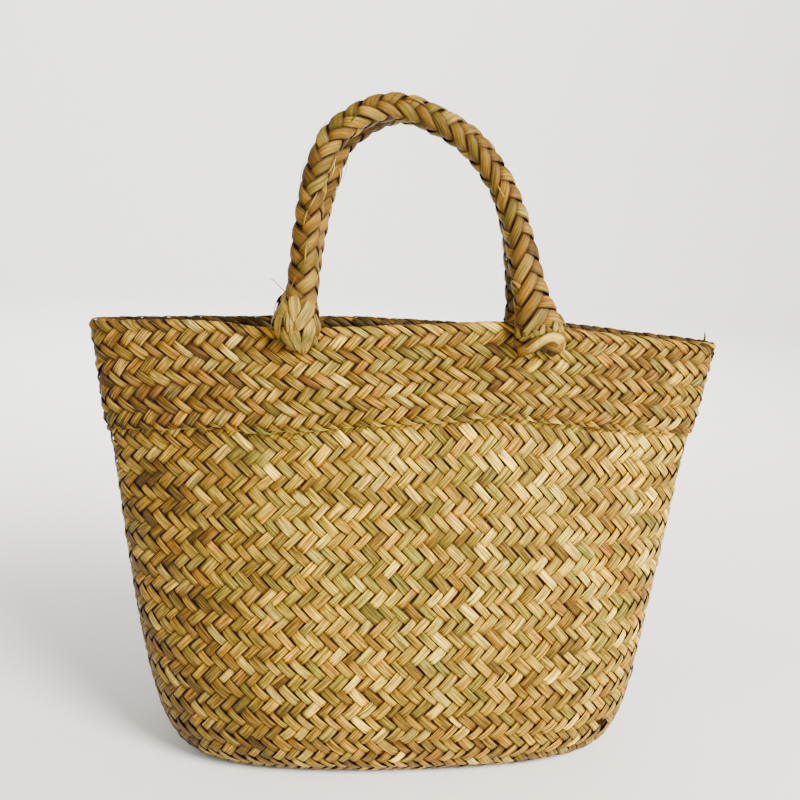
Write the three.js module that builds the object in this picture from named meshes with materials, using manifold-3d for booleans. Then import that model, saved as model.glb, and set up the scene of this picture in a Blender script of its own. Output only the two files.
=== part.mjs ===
// A straw basket bag: a hollow woven basket with a flat base and a wide, nearly closed mouth,
// a turned-down double band around its rim, and two braided straw handles whose ends pass
// through the wall just under the rim. Millimetres, +Z up, +X along the mouth, the front
// towards -Y, and the origin at the middle of the base on the surface that it stands on.

import * as THREE from 'three';
import { mergeVertices } from 'three/addons/utils/BufferGeometryUtils.js';
import Module from 'manifold-3d';

const wasm = await Module();
wasm.setup();

// Sizes of the basket
const basketHeight = 230;
const rimWidth = 321;
const baseWidth = 265;
const mouthDepth = 30;
const baseDepth = 102;
const wallThickness = 2.4;
const sideFoldRadius = 4;
const rimLift = 8.5;

// Sizes of the turned-down band
const bandHeight = 51;
const bandThickness = 1.8;
const seamDroop = 8;

// Sizes of the handles
const handleDiameter = 13;
const handleSpan = 116;
const handleRise = 108;
const handleOffset = -2;
const backHandleShift = 6;
const handleParting = 1.4;
const handleSeatGap = 0.8;
const handleDive = 7;

// Clearance between pieces that touch
const clearance = 0.3;

// How quickly the rim's unevenness dies away below the seam, as a power of the height
const liftFade = 3;

// How finely the curved forms are divided, with places crowded towards the side folds and rows
// towards the base, where the wall bends most
const turnsAround = 72;
const sideCrowding = 0.36;
const wallRows = 14;
const baseCrowding = 1.35;
const bandRows = 6;
const handleSteps = 44;
const handleSides = 12;
const handleTension = 0.5;
const mergeTolerance = 1e-4;

// The basket's sections from the base to the rim.
// up: share of basketHeight. left, right: share of the way from baseWidth to rimWidth on the
// -X and +X sides. belly: share of the way from mouthDepth to baseDepth.
// pinch: 1 is an ellipse, less is a fuller oblong and more draws the side ends out to an edge.
const sections = [
  { up: 0.0, left: -0.74, right: -0.55, belly: 0.68, pinch: 0.66 },
  { up: 0.03, left: -0.47, right: -0.32, belly: 0.87, pinch: 0.66 },
  { up: 0.08, left: -0.22, right: -0.11, belly: 0.97, pinch: 0.68 },
  { up: 0.16, left: 0.0, right: 0.06, belly: 1.0, pinch: 0.72 },
  { up: 0.3, left: 0.25, right: 0.25, belly: 0.91, pinch: 0.8 },
  { up: 0.5, left: 0.5, right: 0.5, belly: 0.65, pinch: 0.95 },
  { up: 0.75, left: 0.73, right: 0.73, belly: 0.26, pinch: 1.15 },
  { up: 1.0, left: 1.0, right: 1.0, belly: 0.0, pinch: 1.3 },
];

// How the rim rises along the mouth, front and back, and how far the band's seam hangs down.
// across: share of half the mouth's width. front, back: share of rimLift. seam: of seamDroop.
const rimWave = [
  { across: -1.0, front: 0.0, back: 0.0, seam: 1.0 },
  { across: -0.66, front: 0.32, back: 0.2, seam: 0.6 },
  { across: -0.44, front: 0.05, back: 0.3, seam: 0.3 },
  { across: -0.2, front: 0.35, back: 0.45, seam: 0.1 },
  { across: 0.0, front: 0.62, back: 0.4, seam: 0.0 },
  { across: 0.28, front: 1.0, back: 0.35, seam: 0.0 },
  { across: 0.5, front: 0.68, back: 0.6, seam: 0.0 },
  { across: 0.75, front: 0.3, back: 0.3, seam: 0.1 },
  { across: 1.0, front: 0.0, back: 0.0, seam: 0.25 },
];

// A handle from its left tail inside the basket, over the arch, to its right tail.
// across: share of handleSpan / 2. up: share of handleRise above the rim, or below the rim
// a share of handleDive. out: from 0, beside the other handle over the middle of the mouth,
// to 1, in front of the wall.
// wide, thick: shares of handleDiameter. lag: share of backHandleShift, on the back handle.
const handlePath = [
  { across: -1.0, up: -2.6, out: 0.06, wide: 1.1, thick: 0.5, lag: 0 },
  { across: -1.01, up: -1.0, out: 0.71, wide: 1.6, thick: 0.62, lag: 0 },
  { across: -1.02, up: 0.045, out: 1.0, wide: 1.8, thick: 0.85, lag: 0 },
  { across: -0.99, up: 0.17, out: 0.9, wide: 1.25, thick: 0.95, lag: 0.2 },
  { across: -0.97, up: 0.4, out: 0.65, wide: 1.05, thick: 1.0, lag: 0.65 },
  { across: -0.91, up: 0.66, out: 0.37, wide: 1.0, thick: 1.0, lag: 1 },
  { across: -0.74, up: 0.875, out: 0.12, wide: 1.0, thick: 1.0, lag: 1 },
  { across: -0.29, up: 1.0, out: 0.0, wide: 1.0, thick: 1.0, lag: 1 },
  { across: 0.25, up: 0.91, out: 0.07, wide: 1.0, thick: 1.0, lag: 1 },
  { across: 0.6, up: 0.73, out: 0.26, wide: 1.02, thick: 1.0, lag: 1 },
  { across: 0.8, up: 0.5, out: 0.53, wide: 1.08, thick: 1.0, lag: 1 },
  { across: 0.94, up: 0.22, out: 0.85, wide: 1.35, thick: 0.95, lag: 1 },
  { across: 1.04, up: 0.045, out: 1.0, wide: 1.95, thick: 0.85, lag: 1 },
  { across: 1.05, up: -1.0, out: 0.71, wide: 1.75, thick: 0.62, lag: 1 },
  { across: 1.04, up: -2.6, out: 0.06, wide: 1.1, thick: 0.5, lag: 1 },
];

// Straw materials
const strawBody = new THREE.MeshStandardMaterial({ color: 0xc09a52, roughness: 0.62, metalness: 0 });
const strawBand = new THREE.MeshStandardMaterial({ color: 0xc59c55, roughness: 0.6, metalness: 0 });
const strawBraid = new THREE.MeshStandardMaterial({ color: 0xb58a4c, roughness: 0.58, metalness: 0 });

// Reads one column of a table at a place between its rows, along a smooth curve.
function follow(rows, input, column, at) {
  const last = rows.length - 1;
  let i = 0;
  while (i < last - 1 && at > rows[i + 1][input]) i += 1;
  const slope = (k) => {
    const low = Math.max(k - 1, 0);
    const high = Math.min(k + 1, last);
    return (rows[high][column] - rows[low][column]) / (rows[high][input] - rows[low][input]);
  };
  const span = rows[i + 1][input] - rows[i][input];
  const s = (at - rows[i][input]) / span;
  const step = s * s * (3 - 2 * s);
  return rows[i][column] * (1 - step)
    + rows[i + 1][column] * step
    + slope(i) * span * s * (1 - s) * (1 - s)
    - slope(i + 1) * span * s * s * (1 - s);
}

// How far the weave is lifted over its even height: as the rim is over the whole band, with
// the seam hanging lower, and fading out below the seam towards the base.
function liftAt(x, y, up) {
  const seam = 1 - bandHeight / basketHeight;
  const across = THREE.MathUtils.clamp(x / (rimWidth / 2), -1, 1);
  const rise = follow(rimWave, 'across', y < 0 ? 'front' : 'back', across);
  const droop = follow(rimWave, 'across', 'seam', across);
  const towardsSeam = Math.min(1, (1 - up) / (1 - seam));
  const fading = Math.pow(Math.min(1, up / seam), liftFade);
  return (rimLift * rise - seamDroop * droop * towardsSeam) * fading;
}

// The middle line of the side folds at one height, as a closed curve of places and outward
// directions. The places crowd together at the two side ends, where the wall bends most.
function coreSection(up) {
  const left = follow(sections, 'up', 'left', up);
  const right = follow(sections, 'up', 'right', up);
  const belly = follow(sections, 'up', 'belly', up);
  const pinch = follow(sections, 'up', 'pinch', up);
  const halfWidth = (spread) => (baseWidth + (rimWidth - baseWidth) * spread) / 2 - sideFoldRadius;
  const halfDepth = (mouthDepth + (baseDepth - mouthDepth) * belly) / 2 - sideFoldRadius;
  const square = Math.min(1, (1 + pinch) / 2);
  const places = [];
  for (let i = 0; i < turnsAround; i += 1) {
    const even = (i / turnsAround) * Math.PI * 2;
    const turn = even - sideCrowding * Math.sin(2 * even);
    const c = Math.cos(turn);
    const s = Math.sin(turn);
    places.push(new THREE.Vector2(
      halfWidth(c < 0 ? left : right) * Math.sign(c) * Math.pow(Math.abs(c), square),
      halfDepth * Math.sign(s) * Math.pow(Math.abs(s), pinch),
    ));
  }
  return places.map((place, i) => {
    const before = places[(i + turnsAround - 1) % turnsAround];
    const after = places[(i + 1) % turnsAround];
    const along = after.clone().sub(before).normalize();
    return { place, out: new THREE.Vector2(along.y, -along.x) };
  });
}

// One ring of points around the basket, so far out from the fold's middle line.
function ringAt(up, proud) {
  return coreSection(up).map(({ place, out }) => {
    const x = place.x + out.x * proud;
    const y = place.y + out.y * proud;
    return new THREE.Vector3(x, y, up * basketHeight + liftAt(x, y, up));
  });
}

// A closed body from rings of points, each joined to the next. With flat ends the first and
// last rings are filled in, and otherwise the last ring joins the first.
function ringBody(rings, flatEnds) {
  const around = rings[0].length;
  const positions = rings.flat().flatMap((point) => [point.x, point.y, point.z]);
  const triangles = [];
  const triangle = (a, b, c) => {
    if (a !== b && b !== c && c !== a) triangles.push(a, b, c);
  };
  const quad = (a, b, c, d) => {
    triangle(a, b, c);
    triangle(a, c, d);
  };
  const joins = flatEnds ? rings.length - 1 : rings.length;
  for (let r = 0; r < joins; r += 1) {
    const low = r * around;
    const high = ((r + 1) % rings.length) * around;
    for (let i = 0; i < around; i += 1) {
      const next = (i + 1) % around;
      quad(low + i, low + next, high + next, high + i);
    }
  }
  if (flatEnds) {
    const end = (rings.length - 1) * around;
    for (let i = 0; i < around / 2; i += 1) {
      const facing = (around - i) % around;
      const facingNext = around - i - 1;
      quad(i, facing, facingNext, i + 1);
      quad(end + i, end + i + 1, end + facingNext, end + facing);
    }
  }
  const geometry = new THREE.BufferGeometry();
  geometry.setAttribute('position', new THREE.Float32BufferAttribute(positions, 3));
  geometry.setIndex(triangles);
  return geometry;
}

// Turns a closed mesh into a solid for cutting, and back.
function toSolid(geometry) {
  const plain = geometry.clone();
  plain.deleteAttribute('normal');
  plain.deleteAttribute('uv');
  const merged = mergeVertices(plain, mergeTolerance);
  return new wasm.Manifold(new wasm.Mesh({
    numProp: 3,
    vertProperties: new Float32Array(merged.attributes.position.array),
    triVerts: new Uint32Array(merged.index.array),
  }));
}

function toGeometry(solid) {
  const mesh = solid.getMesh();
  const geometry = new THREE.BufferGeometry();
  geometry.setAttribute('position', new THREE.BufferAttribute(mesh.vertProperties, 3));
  geometry.setIndex(new THREE.BufferAttribute(mesh.triVerts, 1));
  return geometry;
}

// The basket wall: up the outside from the base, over the rim and down the inside to the floor.
function basketBody() {
  const bodyTop = 1 - (bandThickness + clearance) / basketHeight;
  const floor = wallThickness / basketHeight;
  const rings = [];
  for (let r = 0; r <= wallRows; r += 1) {
    const up = bodyTop * Math.pow(r / wallRows, baseCrowding);
    rings.push(ringAt(up, sideFoldRadius));
  }
  for (let r = wallRows; r >= 0; r -= 1) {
    const up = floor + (bodyTop - floor) * Math.pow(r / wallRows, baseCrowding);
    rings.push(ringAt(up, sideFoldRadius - wallThickness));
  }
  return ringBody(rings, true);
}

// The band: the weave turned down over the rim, lying on the outside of the wall.
function rimBand() {
  const seam = 1 - bandHeight / basketHeight;
  const bodyTop = 1 - bandThickness / basketHeight;
  const outside = sideFoldRadius + clearance + bandThickness;
  const against = sideFoldRadius + clearance;
  const inside = sideFoldRadius - wallThickness;
  const rings = [];
  for (let r = 0; r < bandRows; r += 1) {
    rings.push(ringAt(seam + (bodyTop - seam) * (r / bandRows), outside));
  }
  rings.push(ringAt(bodyTop, outside));
  rings.push(ringAt(1, outside - bandThickness / 2));
  rings.push(ringAt(1, inside + bandThickness / 2));
  rings.push(ringAt(bodyTop, inside));
  for (let r = bandRows; r >= 0; r -= 1) {
    rings.push(ringAt(seam + (bodyTop - seam) * (r / bandRows), against));
  }
  return ringBody(rings, false);
}

// How far in front of the middle of the mouth a handle's leg stands at the rim.
function handleSeat() {
  const fromLeg = (place) => Math.abs(place.x - handleSpan / 2);
  const places = coreSection(1).map(({ place }) => place);
  const wall = places.reduce((best, place) => (fromLeg(place) < fromLeg(best) ? place : best));
  const outside = Math.abs(wall.y) + sideFoldRadius + clearance + bandThickness;
  return outside + handleSeatGap + handleDiameter / 2;
}

// A braided handle as one flared, bent rod. The front side is -1 and the back side is 1.
function handleRod(side, grown) {
  const shift = side > 0 ? backHandleShift : 0;
  const seat = handleSeat();
  const nearest = (handleDiameter + handleParting) / 2;
  const route = new THREE.CatmullRomCurve3(handlePath.map((row) => {
    const above = row.up > 0 ? row.up * handleRise : row.up * handleDive;
    return new THREE.Vector3(
      handleOffset + shift * row.lag + row.across * handleSpan / 2,
      side * (nearest + (seat - nearest) * row.out),
      basketHeight + above,
    );
  }), false, 'catmullrom', handleTension);
  const girth = new THREE.CatmullRomCurve3(handlePath.map((row) => (
    new THREE.Vector3(row.wide, row.thick, 0).multiplyScalar(handleDiameter / 2)
  )), false, 'catmullrom', handleTension);
  const rings = [];
  for (let s = 0; s <= handleSteps; s += 1) {
    const t = s / handleSteps;
    const middle = route.getPoint(t);
    const along = route.getTangent(t);
    const across = new THREE.Vector3().crossVectors(along, new THREE.Vector3(0, 1, 0)).normalize();
    const through = new THREE.Vector3().crossVectors(along, across);
    const size = girth.getPoint(t);
    const ring = [];
    for (let i = 0; i < handleSides; i += 1) {
      const turn = (i / handleSides) * Math.PI * 2;
      ring.push(middle.clone()
        .addScaledVector(across, (size.x + grown) * Math.cos(turn))
        .addScaledVector(through, (size.y + grown) * Math.sin(turn)));
    }
    rings.push(ring);
  }
  return ringBody(rings, true);
}

// Cuts the eyelets that the handles' ends pass through.
function withEyelets(geometry) {
  const front = toSolid(handleRod(-1, clearance));
  const back = toSolid(handleRod(1, clearance));
  return toGeometry(toSolid(geometry).subtract(front).subtract(back));
}

function piece(name, geometry, material) {
  const mesh = new THREE.Mesh(geometry, material);
  mesh.name = name;
  return mesh;
}

const bag = new THREE.Group();
bag.add(piece('basket_body', withEyelets(basketBody()), strawBody));
bag.add(piece('rim_band', withEyelets(rimBand()), strawBand));
bag.add(piece('handle_front', handleRod(-1, 0), strawBraid));
bag.add(piece('handle_back', handleRod(1, 0), strawBraid));

export default bag;
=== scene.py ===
"""The looks of a woven straw basket bag: a herringbone weave of flat straw strips over the
basket, a turned-down band at its rim, and two round braided handles. Metres, +Z up, +X along
the mouth, the front towards -Y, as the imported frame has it."""

import math

import bpy
import numpy as np
from mathutils import Matrix, Vector


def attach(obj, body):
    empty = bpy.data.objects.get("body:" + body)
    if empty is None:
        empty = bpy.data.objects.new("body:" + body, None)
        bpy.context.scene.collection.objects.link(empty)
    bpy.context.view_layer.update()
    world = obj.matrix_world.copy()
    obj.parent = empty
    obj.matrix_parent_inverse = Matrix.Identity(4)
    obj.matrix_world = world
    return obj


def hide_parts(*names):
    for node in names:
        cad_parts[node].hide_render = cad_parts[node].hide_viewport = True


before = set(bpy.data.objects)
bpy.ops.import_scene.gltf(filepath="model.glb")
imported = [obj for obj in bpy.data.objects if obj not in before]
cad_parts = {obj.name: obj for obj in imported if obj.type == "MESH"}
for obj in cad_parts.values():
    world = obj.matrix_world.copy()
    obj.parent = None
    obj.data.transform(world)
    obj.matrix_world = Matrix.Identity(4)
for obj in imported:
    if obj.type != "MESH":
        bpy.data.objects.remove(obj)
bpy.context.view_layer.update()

MM = 0.001

# Sizes of the basket, as the solids have them
BASKET_HEIGHT = 230 * MM
RIM_WIDTH = 321 * MM
BASE_WIDTH = 265 * MM
MOUTH_DEPTH = 30 * MM
BASE_DEPTH = 102 * MM
WALL_THICKNESS = 2.4 * MM
SIDE_FOLD_RADIUS = 4 * MM
RIM_LIFT = 8.5 * MM
LIFT_FADE = 3
BAND_HEIGHT = 51 * MM
BAND_THICKNESS = 1.8 * MM
SEAM_DROOP = 8 * MM
CLEARANCE = 0.3 * MM

# Sizes of the handles
HANDLE_DIAMETER = 13 * MM
HANDLE_SPAN = 116 * MM
HANDLE_RISE = 108 * MM
HANDLE_OFFSET = -2 * MM
BACK_HANDLE_SHIFT = 6 * MM
HANDLE_PARTING = 1.4 * MM
HANDLE_SEAT_GAP = 0.8 * MM
HANDLE_DIVE = 7 * MM

# Sections of the basket, the wave of its rim and the path of a handle, as the solids have them
SECTION_COLUMNS = ("up", "left", "right", "belly", "pinch")
SECTION_ROWS = (
    (0.0, -0.74, -0.55, 0.68, 0.66),
    (0.03, -0.47, -0.32, 0.87, 0.66),
    (0.08, -0.22, -0.11, 0.97, 0.68),
    (0.16, 0.0, 0.06, 1.0, 0.72),
    (0.3, 0.25, 0.25, 0.91, 0.8),
    (0.5, 0.5, 0.5, 0.65, 0.95),
    (0.75, 0.73, 0.73, 0.26, 1.15),
    (1.0, 1.0, 1.0, 0.0, 1.3),
)
RIM_COLUMNS = ("across", "front", "back", "seam")
RIM_ROWS = (
    (-1.0, 0.0, 0.0, 1.0),
    (-0.66, 0.32, 0.2, 0.6),
    (-0.44, 0.05, 0.3, 0.3),
    (-0.2, 0.35, 0.45, 0.1),
    (0.0, 0.62, 0.4, 0.0),
    (0.28, 1.0, 0.35, 0.0),
    (0.5, 0.68, 0.6, 0.0),
    (0.75, 0.3, 0.3, 0.1),
    (1.0, 0.0, 0.0, 0.25),
)
HANDLE_COLUMNS = ("across", "up", "out", "wide", "thick", "lag")
HANDLE_ROWS = (
    (-1.0, -2.6, 0.06, 1.1, 0.5, 0),
    (-1.01, -1.0, 0.71, 1.6, 0.62, 0),
    (-1.02, 0.045, 1.0, 1.8, 0.85, 0),
    (-0.99, 0.17, 0.9, 1.25, 0.95, 0.2),
    (-0.97, 0.4, 0.65, 1.05, 1.0, 0.65),
    (-0.91, 0.66, 0.37, 1.0, 1.0, 1),
    (-0.74, 0.875, 0.12, 1.0, 1.0, 1),
    (-0.29, 1.0, 0.0, 1.0, 1.0, 1),
    (0.25, 0.91, 0.07, 1.0, 1.0, 1),
    (0.6, 0.73, 0.26, 1.02, 1.0, 1),
    (0.8, 0.5, 0.53, 1.08, 1.0, 1),
    (0.94, 0.22, 0.85, 1.35, 0.95, 1),
    (1.04, 0.045, 1.0, 1.95, 0.85, 1),
    (1.05, -1.0, 0.71, 1.75, 0.62, 1),
    (1.04, -2.6, 0.06, 1.1, 0.5, 1),
)

# The weave: how many strips cross each level each way, and how high a herringbone row is
STRIPS_AROUND = 90
ROW_HEIGHT = 7.2 * MM
BAND_ROWS = 8
BAND_ROW_HEIGHT = 6.22 * MM
BAND_LEAN = 0.2
STRIP_UNEVENNESS = 0.19

SEAM_UP = 1 - BAND_HEIGHT / BASKET_HEIGHT
SEED = 11
RANDOM = np.random.default_rng(SEED)


def table(columns, rows):
    """A table's columns by name."""
    return dict(zip(columns, np.array(rows, float).T))


SECTIONS = table(SECTION_COLUMNS, SECTION_ROWS)
RIM_WAVE = table(RIM_COLUMNS, RIM_ROWS)
HANDLE_PATH = table(HANDLE_COLUMNS, HANDLE_ROWS)


def follow(rows, given, column, at):
    """Reads one column of a table between its rows, along a smooth curve."""
    xs, ys = rows[given], rows[column]
    last = len(xs) - 1
    i = np.clip(np.searchsorted(xs, at, side="left") - 1, 0, last - 1)
    low = np.maximum(np.arange(last + 1) - 1, 0)
    high = np.minimum(np.arange(last + 1) + 1, last)
    slope = (ys[high] - ys[low]) / (xs[high] - xs[low])
    span = xs[i + 1] - xs[i]
    s = (at - xs[i]) / span
    step = s * s * (3 - 2 * s)
    rise = slope[i] * span * s * (1 - s) ** 2 - slope[i + 1] * span * s * s * (1 - s)
    return ys[i] * (1 - step) + ys[i + 1] * step + rise


def lift_at(x, y, up):
    """How far the weave is lifted over its even height."""
    across = np.clip(x / (RIM_WIDTH / 2), -1, 1)
    front = follow(RIM_WAVE, "across", "front", across)
    back = follow(RIM_WAVE, "across", "back", across)
    droop = follow(RIM_WAVE, "across", "seam", across)
    towards_seam = min(1, (1 - up) / (1 - SEAM_UP))
    fading = min(1, up / SEAM_UP) ** LIFT_FADE
    return (RIM_LIFT * np.where(y < 0, front, back) - SEAM_DROOP * droop * towards_seam) * fading


RING_TURNS = 1800
RING_CROWDING = 0.49
SHEET_COLUMNS = 1080


def ring(up, proud):
    """Points around the basket at one height, so far out from its side folds' middle line,
    from the -X fold round the front to the +X fold and back."""
    left, right, belly, pinch = (
        float(follow(SECTIONS, "up", name, up)) for name in ("left", "right", "belly", "pinch")
    )
    half_depth = (MOUTH_DEPTH + (BASE_DEPTH - MOUTH_DEPTH) * belly) / 2 - SIDE_FOLD_RADIUS
    square = min(1, (1 + pinch) / 2)
    even = math.pi + np.arange(RING_TURNS) / RING_TURNS * 2 * math.pi
    turn = even - RING_CROWDING * np.sin(2 * even)
    c, s = np.cos(turn), np.sin(turn)
    spread = np.where(c < 0, left, right)
    half_width = (BASE_WIDTH + (RIM_WIDTH - BASE_WIDTH) * spread) / 2 - SIDE_FOLD_RADIUS
    x = half_width * np.sign(c) * np.abs(c) ** square
    y = half_depth * np.sign(s) * np.abs(s) ** pinch
    dx = np.roll(x, -1) - np.roll(x, 1)
    dy = np.roll(y, -1) - np.roll(y, 1)
    length = np.hypot(dx, dy)
    x = x + dy / length * proud
    y = y - dx / length * proud
    return np.stack([x, y, up * BASKET_HEIGHT + lift_at(x, y, up)], -1)


class WallSheet:
    """A sheet around the basket, given by its levels from top to bottom as rows of up, proud
    and rise. A place on it is a column, of `columns` around, and a row counted downwards."""

    def __init__(self, levels, columns, row_height, zero_level, zero_row=0.0, facing=1, step=1.0 * MM):
        rings = []
        for up, proud, rise in levels:
            points = ring(up, proud) + np.array([0, 0, rise])
            steps = np.linalg.norm(np.roll(points, -1, 0) - points, axis=1)
            along = np.concatenate([[0], np.cumsum(steps)])
            along /= along[-1]
            closed = np.vstack([points, points[:1]])
            even = np.arange(SHEET_COLUMNS) / SHEET_COLUMNS
            rings.append(np.stack([np.interp(even, along, closed[:, i]) for i in range(3)], -1))
        rings = np.array(rings)
        fall = np.linalg.norm(np.diff(rings, axis=0), axis=2).mean(1)
        down = np.concatenate([[0], np.cumsum(fall)])
        down += zero_row * row_height - down[zero_level]
        self.columns = columns
        self.step = step
        self.start = down[0]
        self.row_height = row_height
        levels_down = np.arange(down[0], down[-1], self.step)
        flat = rings.reshape(len(down), -1)
        k = np.clip(np.searchsorted(down, levels_down, side="right") - 1, 0, len(down) - 2)
        share = ((levels_down - down[k]) / (down[k + 1] - down[k]))[:, None]
        self.points = (flat[k] * (1 - share) + flat[k + 1] * share).reshape(-1, SHEET_COLUMNS, 3)
        around = np.roll(self.points, -2, 1) - np.roll(self.points, 2, 1)
        downward = np.gradient(self.points, axis=0)
        normals = np.cross(downward, around)
        self.normals = facing * normals / np.linalg.norm(normals, axis=2, keepdims=True)
        self.last_row = (levels_down[-1]) / row_height

    def look_up(self, grid, column, row):
        u = np.mod(column / self.columns, 1) * SHEET_COLUMNS
        v = (row * self.row_height - self.start) / self.step
        v = np.clip(v, 0, len(grid) - 1.001)
        u0, v0 = np.floor(u).astype(int) % SHEET_COLUMNS, np.floor(v).astype(int)
        u1 = (u0 + 1) % SHEET_COLUMNS
        fu, fv = (u - np.floor(u))[..., None], (v - v0)[..., None]
        upper = grid[v0, u0] * (1 - fu) + grid[v0, u1] * fu
        lower = grid[v0 + 1, u0] * (1 - fu) + grid[v0 + 1, u1] * fu
        return upper * (1 - fv) + lower * fv

    def at(self, column, row, height):
        normal = self.look_up(self.normals, column, row)
        normal = normal / np.linalg.norm(normal, axis=-1, keepdims=True)
        return self.look_up(self.points, column, row) + normal * height[..., None]


class FlatSheet:
    """A level sheet, with columns along +X and rows along -Y, counted from its middle."""

    def __init__(self, height, column_width, row_height, facing):
        self.height = height
        self.column_width = column_width
        self.row_height = row_height
        self.facing = facing

    def at(self, column, row, height):
        z = self.height + self.facing * height
        return np.stack([column * self.column_width + 0 * z, -row * self.row_height + 0 * z, z], -1)


class TubeSheet:
    """A sheet around a bent rod. A place on it is a column around the rod and a row along it.
    The rod's centres, girths (half widths across and through), twists and skews (how far rows
    run ahead towards one side) are given at even distances."""

    def __init__(self, centres, girths, twists, skews, columns, row_height):
        steps = np.linalg.norm(np.diff(centres, axis=0), axis=1)
        along = np.concatenate([[0], np.cumsum(steps)])
        self.length = along[-1]
        self.columns = columns
        self.row_height = row_height
        self.last_row = self.length / row_height
        forward = np.gradient(centres, axis=0)
        forward /= np.linalg.norm(forward, axis=1, keepdims=True)
        across = np.cross(forward, (0, 1, 0))
        across /= np.linalg.norm(across, axis=1, keepdims=True)
        through = np.cross(forward, across)
        self.along = along
        self.values = np.hstack([centres, across, through, girths, twists[:, None]])
        self.skews = skews

    def at(self, column, row, height):
        distance = np.clip(row * self.row_height, 0, self.length)
        skew = np.interp(distance, self.along, self.skews) * self.columns / (2 * math.pi)
        side = column / self.columns * 2 * math.pi + np.interp(distance, self.along, self.values[:, -1])
        distance = np.clip((row - skew * np.cos(side)) * self.row_height, 0, self.length)
        twist = np.interp(distance, self.along, self.values[:, -1])
        point, outward = self.surface(distance, column / self.columns * 2 * math.pi + twist)
        return point + outward * height[..., None]

    def surface(self, distance, turn):
        """The place on the rod so far along it and turned so far round it, and the way out."""
        found = np.stack([np.interp(distance, self.along, v) for v in self.values.T], -1)
        centre, across, through = found[..., 0:3], found[..., 3:6], found[..., 6:9]
        wide, thick = found[..., 9:10], found[..., 10:11]
        c, s = np.cos(turn)[..., None], np.sin(turn)[..., None]
        outward = across * c * thick + through * s * wide
        outward /= np.linalg.norm(outward, axis=-1, keepdims=True)
        return centre + across * c * wide + through * s * thick, outward


class Lattice:
    """Two families of strips that cross: strip a falls to the right and strip b rises to the
    right. Its strips are unevenly wide, and `lean` slants it from column to column."""

    def __init__(self, columns, unevenness, lean=0.0):
        self.columns = columns
        self.lean = lean
        self.shift_a = RANDOM.uniform(-unevenness, unevenness, columns)
        self.shift_b = RANDOM.uniform(-unevenness, unevenness, columns)

    def warp(self, shift, index):
        at = index + 0.5
        low = np.floor(at).astype(int)
        part = at - low
        low_shift = shift[low % self.columns]
        high_shift = shift[(low + 1) % self.columns]
        return index + low_shift * (1 - part) + high_shift * part

    def place(self, a, b):
        u, v = self.warp(self.shift_a, a), self.warp(self.shift_b, b)
        row = (v - u) / 2
        return (u + v) / 2 + self.lean * row, row


UNDER_EDGE = 0.86


def mirrored(half, sign=1):
    """A row of values given from its middle outwards, with its other half before it."""
    return (*(sign * value for value in half[:0:-1]), *half)


class Strip:
    """A strip's form. Its stations, in half lengths of the stretch that shows between the
    strips over it, have shades (0 for none, 1 for full painted shade, as where it passes under
    other strips) and heights. Its top is given from the middle to the edge, in half widths, with
    its crown. Heights, crown and thickness are in mm."""

    def __init__(self, along, shades, half_across, half_crown, thickness, heights=(), width=1.0):
        self.along = np.array(along)
        self.shades = np.array(shades)
        self.heights = np.array(heights) * MM
        self.across = np.array([*mirrored(half_across, -1), UNDER_EDGE, -UNDER_EDGE])
        self.crown = np.array([*mirrored(half_crown), -thickness, -thickness]) * MM
        self.width = width


FLAT_STRIP = Strip(
    mirrored((0.0, 0.72, 1.06, 1.42), -1), mirrored((0, 0.2, 0.75, 1)),
    (0.0, 0.7, 1.0), (0.0, -0.05, -0.24), 0.5, mirrored((0.6, 0.26, -0.55, -1.2)), 0.93)
PUFFY_STRIP = Strip(
    mirrored((0.0, 0.66, 1.08, 1.42), -1), mirrored((0, 0.3, 0.85, 1)),
    (0.0, 0.62, 1.0), (0.0, -0.1, -0.42), 0.5, mirrored((0.85, 0.28, -0.62, -1.3)), 0.93)
LOOSE_STRIP = Strip(
    (0.0, 0.12, 0.3, 0.45, 0.6, 0.75, 0.9, 1.0), (0.7, 0.4, 0.1, 0, 0, 0.15, 0.5, 1),
    (0.0, 0.6, 1.0), (0.0, -0.08, -0.3), 0.35)
INNER_STRIP = Strip(
    mirrored((0.0, 0.9, 1.42), -1), mirrored((0, 0.6, 1)),
    (0.0, 1.0), (0.0, -0.22), 0.45, mirrored((0.4, 0.0, -0.8)), 0.93)
WRAP_STRIP = Strip(
    (-2.9, -2.45, -2.0, -1.55, -1.1, -0.6, 0.1, 0.68, 1.08, 1.42),
    (1, 1, 1, 0.9, 0.6, 0.15, 0, 0.25, 0.85, 1),
    (0.0, 0.62, 1.0), (0.0, -0.1, -0.4), 0.5,
    (-1.0, -0.2, 0.3, 0.4, 0.5, 0.6, 0.6, 0.2, -0.62, -1.2), 0.92)
INNER_WRAP_STRIP = Strip(
    (-4.7, -4.3, -3.8, -3.3, -2.8, -2.4, -2.0, -1.6, -1.3), (1, 0.7, 0.2, 0, 0, 0.1, 0.3, 0.7, 1),
    (0.0, 0.6, 1.0), (0.0, -0.12, -0.5), 0.5,
    (-1.2, -0.3, 0.5, 0.8, 0.8, 0.6, 0.3, -0.2, -0.9), 0.9)
BRAID_STRIP = Strip(
    mirrored((0.0, 0.44, 0.84, 1.14, 1.4), -1), mirrored((0, 0.12, 0.45, 0.85, 1)),
    (0.0, 0.62, 1.0), (0.0, -0.15, -0.6), 0.9, mirrored((0.8, 0.62, 0.0, -0.85, -1.6)), 0.96)

# Edges that turn further than this, in degrees, stay sharp
STRIP_SHARP = 55
SHELL_SHARP = 50


def placed(name, data):
    made = bpy.data.objects.new(name, data)
    bpy.context.scene.collection.objects.link(made)
    return made


def smoothed(name, mesh, sharp):
    """An object of a mesh that is smooth but for its sharp edges."""
    mesh.polygons.foreach_set("use_smooth", np.ones(len(mesh.polygons), bool))
    mesh.set_sharp_from_angle(angle=math.radians(sharp))
    return placed(name, mesh)


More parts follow.
